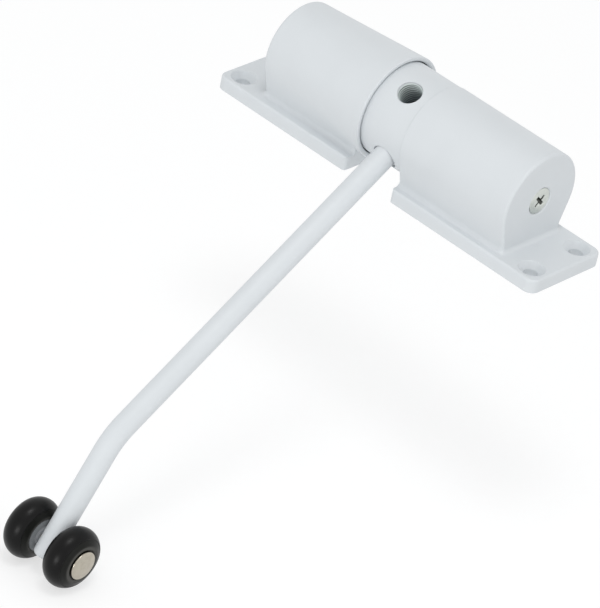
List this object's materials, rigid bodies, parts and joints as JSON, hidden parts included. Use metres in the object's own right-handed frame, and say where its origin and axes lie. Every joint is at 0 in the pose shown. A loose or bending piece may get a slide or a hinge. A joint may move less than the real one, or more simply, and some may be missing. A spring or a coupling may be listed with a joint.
{
  "type": "spring door closer",
  "caption": "Surface mounted spring door closer: a drum turns between two flanged spring barrels and swings a bent arm that ends in a pair of rollers.",
  "frame": {"origin": "middle of the mounting hole rectangle, on the mounting face", "axes": "+X along the drum's axis, -Y towards the side that the arm comes out of, +Z out of the mounting face"},
  "size_m": [0.1446, 0.1747, 0.1439],
  "materials": {
    "white_coated_casting": "semi-gloss powder coat",
    "white_coated_steel": "semi-gloss powder coat",
    "bright_steel": "ground",
    "sintered_bronze": "matt, oil filled",
    "nylon_washer": "satin",
    "zinc_plated_steel": "bright zinc plate",
    "spring_steel": "oiled wire",
    "nickel_plated_steel": "bright nickel plate",
    "grey_washer": "satin",
    "black_tyre": "smooth gloss",
    "black_hub": "smooth gloss"
  },
  "bodies": {
    "frame_mounted_body": {"left_housing": "white_coated_casting", "right_housing": "white_coated_casting", "center_shaft": "bright_steel", "left_bush": "sintered_bronze", "right_bush": "sintered_bronze", "left_spring": "spring_steel", "right_spring": "spring_steel", "left_spring_anchor": "zinc_plated_steel", "right_spring_anchor": "zinc_plated_steel", "left_end_screw": "zinc_plated_steel", "right_end_screw": "zinc_plated_steel"},
    "drum_and_arm": {"drum": "white_coated_casting", "arm_rod": "white_coated_steel", "roller_axle": "nickel_plated_steel", "axle_end_cap": "nickel_plated_steel", "left_roller_washer": "grey_washer", "right_roller_washer": "grey_washer", "left_thrust_washer": "nylon_washer", "right_thrust_washer": "nylon_washer", "left_spring_collar": "zinc_plated_steel", "right_spring_collar": "zinc_plated_steel"},
    "left_roller": {"left_roller_tyre": "black_tyre", "left_roller_hub": "black_hub"},
    "right_roller": {"right_roller_tyre": "black_tyre", "right_roller_hub": "black_hub"}
  },
  "joints": [
    {"name": "arm_swing", "type": "hinge", "parent": "frame_mounted_body", "child": "drum_and_arm", "pos_m": [0, 0, 0.0207], "axis": [-1, 0, 0], "range_deg": [0, 150], "stiffness_Nm_per_rad": 1.2, "deforming": ["left_spring", "right_spring"]},
    {"name": "left_roller_spin", "type": "hinge", "parent": "drum_and_arm", "child": "left_roller", "pos_m": [0.0012, -0.14474, -0.09323], "axis": [1, 0, 0], "continuous": true},
    {"name": "right_roller_spin", "type": "hinge", "parent": "drum_and_arm", "child": "right_roller", "pos_m": [0.0012, -0.14474, -0.09323], "axis": [1, 0, 0], "continuous": true}
  ]
}
